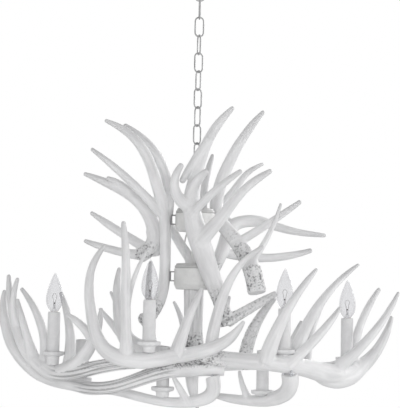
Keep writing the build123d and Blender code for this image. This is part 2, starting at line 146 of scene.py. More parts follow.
metals = {
    "zinc": {"light": (0.62, 0.63, 0.65), "dark": (0.42, 0.43, 0.45), "rough": 0.24},
    "brass": {"light": (0.80, 0.64, 0.36), "dark": (0.55, 0.41, 0.20), "rough": 0.18},
    "wire": {"light": (0.20, 0.19, 0.18), "dark": (0.09, 0.085, 0.08), "rough": 0.3},
}
glass = {
    "tint": (0.9, 0.9, 0.91, 1), "through": (0.935, 0.935, 0.94, 1),
    "rough": 0.08, "edge": 0.28, "mirror": 0.34,
}


# painted shade: one attribute darkens the hollows and greys the tips; the grain one runs along each limb
def antlerPaint(values):
    made = Finish("antlerWhite")
    pit = made.node("ShaderNodeAttribute", {"attribute_name": "pit"}, out=2)
    grain = made.node("ShaderNodeAttribute", {"attribute_name": "grain"}, out=1)
    streaks = made.cloud(1.0, 4.0, grain, 0.6)
    drift = made.cloud(14.0, 3.0)
    # the colour mixes that painted shade with random tone and streaks along the grain
    shade = made.clamped(pit + (1 - drift) * 0.25 + (1 - streaks) * 0.5, 0.32, 1.2)
    made.tint(shade, values["light"], values["dark"])
    made.feed("Roughness", values["rough"] + 0.25 * shade + 0.1 * streaks)
    fine = made.cloud(520.0, 2.0)
    made.bump(streaks + fine * 0.25, 0.5, values["grain"])
    return made.material


def paintedFinish(name, values):
    made = Finish(name)
    wear = made.cloud(45.0, 4.0, rough=0.65)
    peel = made.cloud(values["peel"], 2.0)
    made.tint(made.clamped(wear, 0.35, 0.75), values["light"], values["dark"])
    made.feed("Roughness", values["rough"] + wear * 0.14)
    made.bump(peel + wear * 0.6, 0.35, 0.0003)
    return made.material


def metalFinish(name, values):
    made = Finish(name, Metallic=1.0)
    brushed = made.cloud(180.0, 5.0, made.place((1, 1, 0.12)), 0.7)
    made.tint(brushed, values["light"], values["dark"])
    made.feed("Roughness", values["rough"] + brushed * 0.2)
    made.bump(brushed, 0.25, 0.0002)
    return made.material


# thin clear glass: it dims what is behind it a little, and mirrors more at its edges
def clearGlass(values):
    made = Finish("clearGlass", Base_Color=values["tint"], Roughness=values["rough"])
    ripple = made.cloud(38.0, 2.0)
    made.bump(ripple, 0.1, 0.0005)
    rim = made.node("ShaderNodeLayerWeight", None, {"Blend": values["edge"]}, out=1)
    through = made.node("ShaderNodeBsdfTransparent", None, {"Color": values["through"]})
    glossy = Signal(made.tree, made.shader.outputs[0])
    share = rim * values["mirror"] + ripple * 0.05
    made.show("Material Output", made.node("ShaderNodeMixShader", None, {0: share, 1: through, 2: glossy}))
    return made.material


antlerWhite = antlerPaint(paints["antler"])
hubWhite = paintedFinish("hubWhite", paints["hub"])
shadedBandGrey = paintedFinish("shadedBandGrey", paints["band"])
chainShadedGrey = paintedFinish("chainShadedGrey", paints["chain"])
panWhite = paintedFinish("panWhite", paints["pan"])
sleeveWhite = paintedFinish("sleeveWhite", paints["sleeve"])
leadWhite = paintedFinish("leadWhite", paints["lead"])
strapShadeGrey = paintedFinish("strapShadeGrey", paints["strap"])
socketDark = paintedFinish("socketDark", paints["socket"])
zincSteel = metalFinish("zincSteel", metals["zinc"])
baseBrass = metalFinish("baseBrass", metals["brass"])
wireDark = metalFinish("wireDark", metals["wire"])
bulbGlass = clearGlass(glass)
print("finishes made")


def settled(name, bm, material, body, replaced=()):
    bmesh.ops.recalc_face_normals(bm, faces=bm.faces)
    mesh = bpy.data.meshes.new(name)
    bm.to_mesh(mesh)
    bm.free()
    return dressed(name, mesh, material, body, replaced)


def dressed(name, mesh, material, body, replaced=()):
    mesh.materials.clear()
    mesh.materials.append(material)
    mesh.polygons.foreach_set("use_smooth", [True] * len(mesh.polygons))
    piece = bpy.data.objects.new(name, mesh)
    bpy.context.scene.collection.objects.link(piece)
    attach(piece, body)
    if replaced:
        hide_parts(*replaced)
    return piece


# a place in metres, from mm and a height above the lower hub
def fromHub(x, y, z):
    return x * mm, y * mm, (z + hubHeight) * mm


# even points on one smooth curve through the knots, the headings there and the curve's length
def flow(knots, steps):
    knots = np.array(knots, float)
    gaps = np.linalg.norm(np.diff(knots, axis=0), axis=1)
    chords = np.diff(knots, axis=0) / gaps[:, None]
    count = len(knots)
    rows, sides = np.eye(count), np.zeros_like(knots)
    sides[0] = chords[0] - (chords[1] - chords[0]) * gaps[0] / (gaps[0] + gaps[1])
    sides[-1] = chords[-1] + (chords[-1] - chords[-2]) * gaps[-1] / (gaps[-1] + gaps[-2])
    for i in range(1, count - 1):
        rows[i, i - 1 : i + 2] = gaps[i], 2 * (gaps[i - 1] + gaps[i]), gaps[i - 1]
        sides[i] = 3 * (gaps[i] * chords[i - 1] + gaps[i - 1] * chords[i])
    slopes = np.linalg.solve(rows, sides)
    t = np.linspace(0, 1, 41)[:, None]
    fine = []
    for i, gap in enumerate(gaps):
        leaving, arriving = slopes[i] * gap, slopes[i + 1] * gap
        ends = (2 * t**3 - 3 * t**2 + 1) * knots[i] + (3 * t**2 - 2 * t**3) * knots[i + 1]
        fine.append(ends + (t**3 - 2 * t**2 + t) * leaving + (t**3 - t**2) * arriving)
    fine = np.concatenate(fine)
    run = np.concatenate([[0], np.cumsum(np.linalg.norm(np.diff(fine, axis=0), axis=1))])
    even = np.linspace(0, run[-1], steps + 1)
    places = np.stack([np.interp(even, run, fine[:, axis]) for axis in range(3)], 1)
    headings = np.gradient(places, axis=0)
    headings /= np.linalg.norm(headings, axis=1)[:, None]
    return places, headings, run[-1]


def station(place, heading, radius):
    facing = Vector(heading).to_track_quat("Z", "Y").to_matrix().to_4x4()
    return Matrix.Translation(Vector(place)) @ facing @ Matrix.Diagonal((radius, radius, radius, 1))


def circleEdges(verts):
    return [edge for vert in verts for edge in vert.link_edges if edge.verts[0] == vert]


# the new verts of an operator's result, and the edges between them
def newRing(geom):
    verts = [g for g in geom if isinstance(g, bmesh.types.BMVert)]
    inRing = set(verts)
    edges = [g for g in geom if isinstance(g, bmesh.types.BMEdge) and all(v in inRing for v in g.verts)]
    return verts, edges


stout = 15  # radius of a middling beam in mm


# a round run along knots in mm, grown ring by ring; radii lie at even steps from its root to its tip
def grownRun(bm, knots, radii, sides, step, fat=1.0, blunted=1.0, spare=0.0, domed=False):
    knots = [(x, y, hubHeight + z) for x, y, z in knots]
    length = flow(knots, 8)[2]
    steps = max(6, int(length / step))
    places, headings, length = flow(knots, steps)
    shares = np.linspace(0, len(radii) - 1, steps + 1)
    last = len(radii) - 2
    blunt = np.where(shares > last, last + np.clip(shares - last, 0, 1) ** blunted, shares)
    widths = np.interp(blunt, range(len(radii)), radii) * fat
    soft = widths.copy()
    soft[1:-1] = (widths[:-2] + 2 * widths[1:-1] + widths[2:]) / 4
    soft += np.clip(spare * (1 - soft / stout), 0, None)
    stations = [station(p * mm, h, r * mm) for p, h, r in zip(places, headings, soft)]
    if domed:
        for out, share in ((0.35, 0.85), (0.6, 0.45)):
            end = places[-1] + headings[-1] * soft[-1] * out
            stations.append(station(end * mm, headings[-1], soft[-1] * share * mm))
    root = bmesh.ops.create_circle(bm, cap_ends=True, radius=1, segments=sides, matrix=stations[0])
    edges = circleEdges(root["verts"])
    for before, after in zip(stations, stations[1:]):
        verts, edges = newRing(bmesh.ops.extrude_edge_only(bm, edges=edges)["geom"])
        bmesh.ops.transform(bm, matrix=after @ before.inverted(), verts=verts)
    bmesh.ops.contextual_create(bm, geom=edges)
    return places, headings, soft, length


# where the seven candles stand: rim is the height of the pan's rim, and neck its reach below that
candles = {
    "left": {"x": -274, "y": -29, "rim": -154, "neck": 27, "bulb": True},
    "front_left": {"x": -82, "y": -144, "rim": -127, "neck": 21, "bulb": True},
    "front_right": {"x": 175, "y": -104, "rim": -138, "neck": 15, "bulb": True},
    "right": {"x": 309, "y": 19, "rim": -155, "neck": 14, "bulb": True},
    "low_front": {"x": -56, "y": -67, "rim": -216, "neck": 20, "bulb": False},
    "low_right": {"x": 139, "y": -27, "rim": -221, "neck": 11, "bulb": False},
    "low_rear": {"x": -227, "y": 76, "rim": -210, "neck": 12, "bulb": False},
}
# the space that a candle needs: radii of its pan and neck, and its reach below and above the rim
seat = {"pan": 22.7, "neck": 12.7, "lift": 9.3, "height": 76}

# knots are (x, y, height) in mm, then radii; the first limb is the beam, pearls is how far its root is
# rough, speckled gives other limbs a rough root, and flutes are start, end, valleys, depth and the painted
# shade in the valleys
antlers = {
    "frontCenter": {
        "node": "antler_front_center", "pearls": 95, "burr": 2.2, "speckled": {6: 0.9, 7: 0.8},
        "limbs": [
            ([(67, -40, -95), (54, -44, -52), (32, -51, 5), (8, -58, 73), (-8, -56, 140),
              (-2, -54, 188), (24, -55, 270), (69, -75, 329)],
             [16, 15.5, 19, 21.5, 21, 17, 13.5, 11, 9.5, 4]),
            ([(-12, -58, 132), (-42, -72, 173), (-29, -86, 213)],
             [13.5, 11, 8.5, 5.5]),
            ([(-7, -60, 163), (4, -74, 186), (19, -86, 201)],
             [11.5, 9.5, 6.2]),
            ([(22, -55, 266), (-12, -62, 212), (-27, -66, 184)],
             [8.5, 8.8, 7.8, 6.2]),
            ([(0, -70, 127), (43, -94, 169), (86, -104, 202)],
             [9, 8, 7, 4.6]),
            ([(14, -66, 70), (56, -82, 120), (97, -94, 170), (144, -100, 204)],
             [15.5, 13, 10, 8, 4.6]),
            ([(66, -42, -88), (116, -35, -59), (161, -30, -32)],
             [12.8, 10.5, 9, 5.9]),
            ([(58, -44, -76), (64, -45, -58), (70, -46, -40)],
             [8, 6, 3.5]),
        ],
    },
    "leftTall": {
        "node": "antler_left_tall", "pearls": 75, "burr": 1.8,
        "limbs": [
            ([(-98, -45, -93), (-68, -18, -52), (-59, 1, 0), (-59, 4, 60), (-62, 4, 120),
              (-78, -5, 181), (-119, -25, 265), (-182, -38, 304)],
             [14, 12, 11.5, 11.5, 11.8, 12.8, 12, 10.5, 8, 3.5]),
            ([(-60, 6, 109), (-54, 14, 160), (-74, 24, 232), (-148, 32, 304)],
             [12, 11, 10.5, 9, 5.3]),
            ([(-69, 5, 124), (-119, -12, 175), (-209, -25, 248)],
             [11, 9, 7.5, 3.6]),
        ],
    },
    "leftUpper": {
        "node": "antler_left_upper", "pearls": 45, "burr": 1.8, "grooves": 0.9,
        "limbs": [
            ([(-110, 18, 38), (-83, 17, 68), (-88, 28, 110), (-128, 44, 159), (-189, 56, 191),
              (-230, 62, 207)],
             [15, 16.5, 15, 12.5, 11, 8.5, 3.7]),
            ([(-95, 22, 53), (-158, 50, 91), (-214, 64, 127)],
             [11, 9.5, 8, 3.7]),
            ([(-102, 20, 40), (-186, 52, 56), (-225, 62, 69)],
             [11, 9, 7.5, 3.7]),
            ([(-126, 44, 159), (-155, 42, 186), (-181, 40, 197)],
             [9, 7, 4]),
            ([(-87, 24, 92), (-83, 24, 66), (-79, 25, 46)],
             [13, 13, 12]),
        ],
    },
    "rightTall": {
        "node": "antler_right_tall", "pearls": 165, "burr": 0.5, "grooves": 0.8, "sawn": True,
        "limbs": [
            ([(125, -36, -31), (105, -16, 37), (63, 16, 96), (44, 29, 128), (44, 38, 165),
              (66, 40, 233), (134, 30, 338)],
             [18.7, 18.5, 16, 14.3, 14, 13, 11.5, 9, 4]),
            ([(83, 0, 67), (133, -6, 99), (208, -14, 152)],
             [10, 8.5, 7, 4.4]),
            ([(110, -22, 25), (152, -26, 97), (169, -28, 146)],
             [7.5, 6, 4.5, 2.6]),
        ],
    },
    "rightRear": {
        "node": "antler_right_rear", "pearls": 40,
        "limbs": [
            ([(32, 38, 6), (56, 63, 53), (80, 90, 109), (131, 108, 119), (183, 118, 106),
              (273, 128, 94)],
             [13.5, 14, 15, 13, 9.5, 7, 3.8]),
            ([(56, 66, 53), (144, 96, 43), (242, 108, 61)],
             [11.3, 10, 8.5, 4.8]),
            ([(70, 83, 96), (69, 110, 155), (87, 120, 181)],
             [11, 9, 6, 3]),
        ],
    },
    "rearUpper": {
        "node": "antler_rear_upper", "pearls": 40,
        "limbs": [
            ([(4, 51, 0), (12, 51, 56), (20, 50, 100), (68, 74, 165), (109, 92, 221), (138, 98, 239)],
             [13.5, 14.5, 14.5, 12, 9, 6.5, 3.1]),
            ([(16, 52, 96), (20, 66, 200), (33, 72, 252)],
             [12, 9.5, 7.5, 4]),
            ([(4, 52, 20), (-52, 70, 104), (-76, 78, 152)],
             [11.3, 10.5, 9, 5.4]),
            ([(13, 54, 60), (-18, 118, 120), (-33, 140, 151)],
             [10, 8.5, 6.5, 4.2]),
        ],
    },
    "leftOuter": {
        "node": "antler_left_outer", "pearls": 215, "grooves": 0.7, "crusted": True,
        "flutes": [(120, 330, 8, 0.8, 0.6)],
        "limbs": [
            ([(63, -46, -178), (-14, -60, -181), (-61, -96, -187), (-141, -106, -214),
              (-232, -35, -218), (-316, 27, -196), (-370, 45, -131), (-387, 53, -69),
              (-386, 57, -37)],
             [16.5, 17, 16, 14.5, 13, 12.5, 12, 12, 13, 14, 10.5, 3.6]),
        ],
    },
    "leftInner": {
        "node": "antler_left_inner", "pearls": 60, "grooves": 1.0, "flutes": [(40, 225, 9, 1.3, 0.7)],
        "limbs": [
            ([(-80, -112, -165), (-114, -122, -168), (-191, -88, -182), (-265, -32, -195),
              (-324, 7, -164), (-365, 28, -75), (-375, 35, -6)],
             [12.5, 13.3, 14.2, 15, 17, 14.5, 11, 8, 4]),
            ([(-255, -39, -193), (-206, -79, -156), (-181, -95, -100), (-177, -91, -68)],
             [16.5, 15, 12.5, 8, 3.1]),
            ([(-190, -90, -130), (-213, -77, -104), (-246, -63, -80)],
             [11.5, 8, 3.5]),
            ([(-355, 23, -105), (-361, 13, -50), (-353, 7, -12)],
             [10, 7, 5.5, 3.4]),
            ([(-291, -14, -187), (-296, 5, -131), (-347, 27, -32)],
             [13, 9.5, 7.5, 3.6]),
            ([(-312, 1, -178), (-335, 1, -111), (-352, 5, -54)],
             [13, 9, 6.5, 3.4]),
            ([(-244, -39, -190), (-242, -15, -131), (-266, 11, -39)],
             [13, 10.5, 8, 3.6]),
        ],
    },
    "frontLeft": {
        "node": "antler_front_left", "pearls": 0, "grooves": 0.35,
        "limbs": [
            ([(98, -95, -86), (57, -84, -130), (10, -80, -148), (-42, -114, -157),
              (-110, -150, -163), (-161, -142, -147), (-194, -126, -74), (-195, -114, 10),
              (-172, -106, 53)],
             [3, 10.5, 13.5, 14.3, 14.5, 15.5, 16, 14.5, 12, 10.5, 9, 7, 3.5]),
            ([(-31, -106, -153), (-4, -106, -71), (16, -98, -26)],
             [15, 11, 8, 3.5]),
            ([(-123, -150, -158), (-127, -146, -50), (-130, -140, 40), (-136, -136, 96)],
             [14, 10, 9, 9, 7.5, 4.4]),
            ([(-116, -138, -150), (-120, -116, -31), (-91, -106, 45)],
             [9, 5.5, 4.5, 2.3]),
        ],
    },
    "frontRight": {
        "node": "antler_front_right", "pearls": 85, "grooves": 0.35,
        "limbs": [
            ([(8, -52, -154), (92, -90, -162), (150, -112, -164), (210, -89, -172), (296, 4, -188),
              (354, 56, -165), (393, 75, -113), (407, 78, -73)],
             [14.5, 15.7, 16.2, 17, 18.5, 20.5, 21, 16, 10, 3.7]),
            ([(36, -62, -148), (48, -80, -70), (84, -97, 15), (131, -108, 57)],
             [13.7, 12, 10.5, 8.5, 6, 3.5]),
            ([(140, -116, -159), (168, -143, -82), (234, -113, 15)],
             [17, 13, 9.5, 7, 3.4]),
            ([(193, -85, -167), (221, -54, -95), (277, -23, -15), (328, 0, 30)],
             [17, 13, 11, 8.5, 6, 2.8]),
            ([(186, -108, -162), (234, -95, -119), (285, -65, -57)],
             [13, 10, 8, 3.5]),
            ([(322, 32, -180), (335, 56, -108), (379, 64, -17)],
             [12, 9.5, 8, 3.8]),
            ([(291, -10, -173), (352, -6, -113), (414, 36, -24)],
             [14, 10, 8.5, 6.5, 3]),
            ([(236, -56, -182), (286, -6, -197), (330, 32, -186), (366, 60, -150)],
             [10, 17, 20.5, 19, 12, 6]),
        ],
    },
    "bottomLeft": {
        "node": "antler_bottom_left", "pearls": 0, "grooves": 0.4,
        "limbs": [
            ([(40, -52, -196), (40, -58, -226), (-10, -66, -245), (-61, -64, -244), (-163, 8, -230),
              (-242, 90, -227), (-278, 120, -190)],
             [14.7, 14.2, 11, 9.5, 9.3, 9.2, 9.2, 8.9, 8.9, 8.7, 8, 3.7]),
            ([(-8, -68, -244), (-21, -76, -221), (-35, -82, -197)],
             [8, 6.5, 3.5]),
        ],
    },
    "bottomRight": {
        "node": "antler_bottom_right", "pearls": 0, "grooves": 0.35,
        "limbs": [
            ([(187, -102, -184), (188, -90, -208), (160, -48, -236), (97, 2, -243), (45, 24, -236)],
             [17, 16.5, 14, 11, 9, 5]),
            ([(115, -8, -244), (102, -2, -217), (94, 2, -187)],
             [8, 5.6, 3]),
        ],
    },
    "rearLeft": {
        "node": "antler_rear_left", "pearls": 70, "grooves": 0.6, "speckled": {4: 0.7},
        "limbs": [
            ([(-6, 50, -158), (-81, 158, -162), (-139, 198, -136), (-162, 200, -69), (-161, 186, 17)],
             [20, 23, 23, 21, 15, 10, 3.8]),
            ([(-155, 202, -81), (-167, 207, -56), (-180, 213, -33)],
             [8.6, 6, 3]),
            ([(-148, 202, -131), (-175, 215, -102), (-203, 226, -70)],
             [10.3, 7.5, 3.2]),
            ([(-22, 71, -160), (-21, 63, -100), (-40, 55, -52)],
             [9, 6.5, 5.5, 2.9]),
            ([(-83, 160, -162), (-97, 200, -60), (-95, 213, 33)],
             [13, 10.5, 8, 3.8]),
        ],
    },
    "rearRight": {
        "node": "antler_rear_right", "pearls": 70, "speckled": {1: 0.85},
        "limbs": [
            ([(20, 47, -174), (78, 98, -173), (211, 152, -177), (291, 106, -179), (320, 72, -143),
              (316, 66, -98)],
             [17, 18, 18, 17.5, 16, 13, 8.5, 3.7]),
            ([(108, 116, -174), (118, 85, -120), (163, 42, -41)],
             [14.5, 14, 10, 5.3]),
            ([(194, 150, -176), (209, 144, -133), (227, 139, -88)],
             [11.5, 9, 3.8]),
            ([(151, 144, -174), (187, 170, -95), (226, 184, -29)],
             [11.5, 9, 7, 3.8]),
            ([(239, 139, -181), (259, 194, -90), (286, 220, -32)],
             [11.5, 9, 7, 3.6]),
        ],
    },
    "finialTine": {
        "node": "antler_finial", "pearls": 0, "grooves": 0.3,
        "limbs": [
            ([(0, 0, -188), (2, -3, -220), (13, -13, -262)],
             [14.8, 12.5, 8, 2]),
        ],
    },
}

antlerSurface = {
    "voxel": 1.7,  # mm, of the remesh that melts the limbs together
    "melting": 6,  # rounds of smoothing after it
    "fat": 0.98,  # share of the radii in the tables
    "blunted": 1.4,  # above 1 a tip keeps its width for longer
    "spare": 0.8,  # mm that the thinnest places gain
    "grooves": 0.5,  # depth of the lengthwise grooves, times the antler's own share
    "wander": 0.8,  # height of the gentle lumps
    "pearl": 3.7,  # size of the beads on a rough root
    "pearlHeight": 1.5,
    "fineTip": 6.5,  # limbs that end thinner than this are greyer at the tip
    "tipShade": 0.14,
}


def eased(value, low, high):
    t = np.clip((value - low) / (high - low), 0, 1)
    return t * t * (3 - 2 * t)


# antler that a candle stands in is pushed out of the candle's own space
def clearedForCandles(points):
    for spot in candles.values():
        spaces = [(seat["neck"], -spot["neck"], 0), (seat["pan"], -seat["lift"], seat["height"])]
        for radius, low, high in spaces:
            side = points[:, :2] - (spot["x"], spot["y"])
            away = np.linalg.norm(side, axis=1) + 1e-6
            height = points[:, 2] - hubHeight - spot["rim"]
            inside = (away < radius) & (height > low) & (height < high)
            down = inside & (height - low < radius - away)
            out = inside & ~down
            points[out, :2] += side[out] * (radius / away[out] - 1)[:, None]
            points[down, 2] += low - height[down]
    return points


# the limbs grown and melted into one mesh, and a row for each of their middle points:
# place, heading, width, length from the root, roughness, limb's number and closeness to the tip
def meltedLimbs(name, values):
    surface = antlerSurface
    bm = bmesh.new()
    middles = []
    for number, (knots, radii) in enumerate(values["limbs"]):
        places, headings, widths, length = grownRun(
            bm, knots, radii, sides=16, step=5.0,
            fat=surface["fat"], blunted=surface["blunted"], spare=surface["spare"], domed=True,
        )
        far = np.linspace(0, length, len(places))
        rough = values.get("speckled", {}).get(number, 0) * (1 - 0.9 * far / length)
        if number == 0 and values["pearls"]:
            rough = 1 - eased(far, values["pearls"] * 0.35, values["pearls"])
        tip = eased(far / length, 0.6, 1.0) * (radii[-1] < surface["fineTip"])
        numbers = np.full(len(places), number)
        middles.append(np.column_stack([places, headings, widths, far, rough, numbers, tip]))
    bmesh.ops.recalc_face_normals(bm, faces=bm.faces)
    rawMesh = bpy.data.meshes.new(name + "Raw")
    bm.to_mesh(rawMesh)
    bm.free()
    raw = bpy.data.objects.new(name + "Raw", rawMesh)
    bpy.context.scene.collection.objects.link(raw)
    melt = raw.modifiers.new("melt", "REMESH")
    melt.mode, melt.voxel_size, melt.adaptivity = "VOXEL", surface["voxel"] * mm, 0
    soften = raw.modifiers.new("soften", "SMOOTH")
    soften.factor, soften.iterations = 0.5, surface["melting"]
    mesh = bpy.data.meshes.new_from_object(raw.evaluated_get(bpy.context.evaluated_depsgraph_get()))
    bpy.data.objects.remove(raw)
    return mesh, np.concatenate(middles)


# the points of a melted antler in mm, each measured from the middle point nearest to it
class Skin:
    def __init__(self, mesh, middles):
        count = len(mesh.vertices)
        points, normals = np.empty((2, count * 3), np.float32)
        mesh.vertices.foreach_get("co", points)
        mesh.vertex_normals.foreach_get("vector", normals)
        self.points = points.reshape(-1, 3).astype(float) / mm
        self.normals = normals.reshape(-1, 3).astype(float)
        tree = kdtree.KDTree(len(middles))
        for i, row in enumerate(middles):
            tree.insert(row[:3], i)
        tree.balance()
        nearest = middles[[tree.find(p)[1] for p in self.points]]
        offset, heading = self.points - nearest[:, :3], nearest[:, 3:6]
        self.size = nearest[:, 6] / stout
        far, self.rough, self.limb, self.tip = nearest[:, 7:].T
        self.far = far + (offset * heading).sum(1)
        first = np.cross(heading, (0.0, 1.0, 0.3))
        first /= np.linalg.norm(first, axis=1)[:, None]
        second = np.cross(heading, first)
        self.around = np.arctan2((offset * second).sum(1), (offset * first).sum(1))
        self.raised = np.zeros(count)
        # painted shade: a grey at fine tips here, darkened hollows are added below
        self.pit = antlerSurface["tipShade"] * self.tip

    # lengthwise grooves, deeper where the skin is rough, with painted shade in their valleys, more where rough
    def groove(self, dice, share):
        wave = np.zeros(len(self.points))
        for turns in (2, 3, 5, 7, 9, 12):
            phase, sway, bend = dice.uniform(0, 6.28, 2), dice.uniform(0.6, 1.4), dice.uniform(30, 70)
            swing = sway * np.sin(self.far / bend + phase[1] + self.limb)
            wave += np.sin(turns * self.around + phase[0] + swing) / (1 + 0.12 * turns)
        wave /= 3.2
        depth = antlerSurface["grooves"] * share * (0.35 + 0.9 * self.rough)
        self.raised += wave * depth * np.clip(self.size, 0.3, 1.2)
        self.pit += np.clip(-wave, 0, 1) * (0.14 + 0.3 * self.rough)

    def wander(self, dice):
        height = antlerSurface["wander"] * np.clip(self.size, 0.2, 1)
        for way in dice.normal(size=(5, 3)):
            way /= np.linalg.norm(way)
            self.raised += height * np.sin(self.points @ way / dice.uniform(6, 15) + dice.uniform(0, 6.28)) / 5

    # beads and crumbs where the skin is rough, with painted shade between them
    def pearl(self, seed):
        for i in np.nonzero(self.rough > 0.03)[0]:
            spot = Vector(self.points[i] / antlerSurface["pearl"])
            near = noise.voronoi(spot + Vector((seed * 3.1, 0, 0)))[0][0]
            bead = 1 - near * near * 2.4
            crumbs, patch = noise.noise(spot * 2.3), noise.noise(spot * 0.36)
            self.raised[i] += self.rough[i] * antlerSurface["pearlHeight"] * (bead * 0.75 + crumbs * 0.5 - 0.25)
            self.pit[i] += self.rough[i] * max(0.0, 0.34 - bead - crumbs * 0.6 + patch * 0.9) * 0.95

    # valleys in the beam between two lengths from its root, with painted shade in them
    def flute(self, start, end, valleys, depth, valleyShade, seed):
        along = eased(self.far, start - 15, start + 15) * (1 - eased(self.far, end - 25, end + 15))
        along *= self.limb == 0
        sway = 0.9 * np.sin(self.far / 47 + seed) + 0.35 * np.sin(self.far / 19)
        wide = np.clip((np.sin(valleys * self.around + sway) - 0.35) / 0.65, 0, 1)
        narrow = np.clip((np.sin((valleys + 3) * self.around - sway * 1.3 + 2) - 0.6) / 0.4, 0, 1)
        valley = np.maximum(wide, 0.8 * narrow) * along
        self.raised -= valley * depth
        self.pit += valley * valleyShade

    # the knobbly collar round the root
    def burr(self, height, seed):
        collar = np.exp(-(((self.far - 8) / 5) ** 2)) * (self.limb == 0)
        knobs = 0.75 + 0.35 * np.sin(self.around * 7 + seed) + 0.2 * np.sin(self.around * 13)
        self.raised += collar * height * knobs


def antlerPiece(name, values, seed):
    mesh, middles = meltedLimbs(name, values)
    skin = Skin(mesh, middles)
    if values.get("sawn"):  # its root's end is cut smooth
        skin.rough *= eased(skin.far, 0, 5)
    if values.get("crusted"):  # rough on its upper side only
        skin.rough *= eased(skin.normals[:, 2], -0.1, 0.6)
    dice = np.random.default_rng(seed)
    skin.groove(dice, values.get("grooves", 0.5))
    skin.wander(dice)
    skin.pearl(seed)
    for flutes in values.get("flutes", ()):
        skin.flute(*flutes, seed)
    skin.burr(values.get("burr", 0), seed)
    points = clearedForCandles(skin.points + skin.normals * skin.raised[:, None])
    mesh.vertices.foreach_set("co", (points * mm).astype(np.float32).ravel())
    paintedShadeLayer = mesh.attributes.new("pit", "FLOAT", "POINT")
    paintedShadeLayer.data.foreach_set("value", np.clip(skin.pit, 0, 1).astype(np.float32))
    girth = np.clip(skin.size, 0.15, 1.2) * 1.7
    along = skin.far / 50 + skin.limb * 5.1 + seed
    grain = np.column_stack([np.cos(skin.around) * girth, np.sin(skin.around) * girth, along])
    grains = mesh.attributes.new("grain", "FLOAT_VECTOR", "POINT")
    grains.data.foreach_set("vector", grain.astype(np.float32).ravel())
    mesh.update()
    return dressed(name, mesh, antlerWhite, "fixture", [values["node"]])


for seed, (key, values) in enumerate(antlers.items(), 3):
    piece = antlerPiece(key + "Antler", values, seed)
    print("antler", key, len(piece.data.polygons), "faces")

# the fluted post is cast like an antler's trunk, with a rough foot where it meets the base hub
post = {
    "node": "lower_post", "pearls": 34, "grooves": 2.0, "burr": 1.5, "flutes": [(-20, 130, 9, 2.0, 0.16)],
    "limbs": [([(0, 0, -140), (0, 0, -100), (0, 0, -60), (0, 0, -27)], [21, 20, 19.5, 19.5, 20, 20.5])],
}
antlerPiece("flutedPost", post, 40)
print("post made")


def roundedCorners(profile, ease, closed):
    made = []
    count = len(profile)
    for i, corner in enumerate(profile):
        if not closed and i in (0, count - 1):
            made.append(corner)
            continue
        corner, before, after = Vector(corner), Vector(profile[i - 1]), Vector(profile[(i + 1) % count])
        start = corner + (before - corner).normalized() * min(ease, (before - corner).length * 0.45)
        end = corner + (after - corner).normalized() * min(ease, (after - corner).length * 0.45)
        for t in (0, 0.25, 0.5, 0.75, 1):
            made.append(tuple(start * (1 - t) ** 2 + corner * 2 * t * (1 - t) + end * t * t))
    return made


# a profile of (radius, height) in mm, spun round the upright line at x, y; heights count from height
def turn(bm, profile, x=0, y=0, ease=0.6, closed=True, sides=48, height=hubHeight):
    before = set(bm.verts)
    profile = roundedCorners(profile, ease, closed) if ease else profile
    verts = [bm.verts.new((r * mm, 0, (z + height) * mm)) for r, z in profile]
    edges = [bm.edges.new(pair) for pair in zip(verts, verts[1:])]
    if closed:
        edges.append(bm.edges.new((verts[-1], verts[0])))
    bmesh.ops.spin(
        bm, geom=verts + edges, cent=(0, 0, 0), axis=(0, 0, 1), dvec=(0, 0, 0),
        angle=math.tau, steps=sides, use_merge=True, use_duplicate=False,
    )
    bmesh.ops.remove_doubles(bm, verts=[v for v in bm.verts if v not in before], dist=0.00002)
    bmesh.ops.translate(bm, verts=[v for v in bm.verts if v not in before], vec=(x * mm, y * mm, 0))


def turnedPiece(name, profile, material, body, slot, replaced, **how):
    bm = bmesh.new()
    turn(bm, profile, **how)
    return settled(name, bm, material, body, replaced)


hubs = {
    "upperHub": {"node": "upper_hub", "bottom": 89, "top": 135},
    "lowerHub": {"node": "lower_hub", "bottom": -27, "top": 25},
    "baseHub": {"node": "base_hub", "bottom": -190, "top": -140},
}
hub = {"radius": 40, "bore": 6.6, "band": 10.3}  # the greyer band is as deep as that below the top
for name, values in hubs.items():
    low, top = values["bottom"], values["top"]
    profile = [
        (hub["bore"], low), (33.4, low), (36.0, low + 1.4), (39.0, low + 8.2), (hub["radius"], low + 9.8),
        (hub["radius"], top - 10.8), (39.6, top - 10.2), (38.2, top - 10.0), (38.0, top - 9.0),
        (39.2, top - 8.6), (39.0, top - 5.0), (38.4, top - 4.3), (36.8, top - 4.0), (36.5, top - 1.2),
        (35.4, top), (hub["bore"], top),
    ]
    how = {"ease": 1.2, "sides": 96}
    drum = turnedPiece(name, profile, hubWhite, "fixture", "hub_paint", [values["node"]], **how)
    # the top band gets the greyer paint: painted shade under the stepped top
    drum.data.materials.append(shadedBandGrey)
    for face in drum.data.polygons:
        face.material_index = int(face.center.z > (hubHeight + top - hub["band"]) * mm)

pipe = {"radius": 6.5, "bore": 4.6}
low, top = hubs["baseHub"]["bottom"], hubs["upperHub"]["top"]
wall = [(pipe["bore"], low), (pipe["radius"], low), (pipe["radius"], top), (pipe["bore"], top)]
turnedPiece("stemPipe", wall, hubWhite, "fixture", "hub_paint", ["stem_pipe"], ease=0.4)
print("column made")

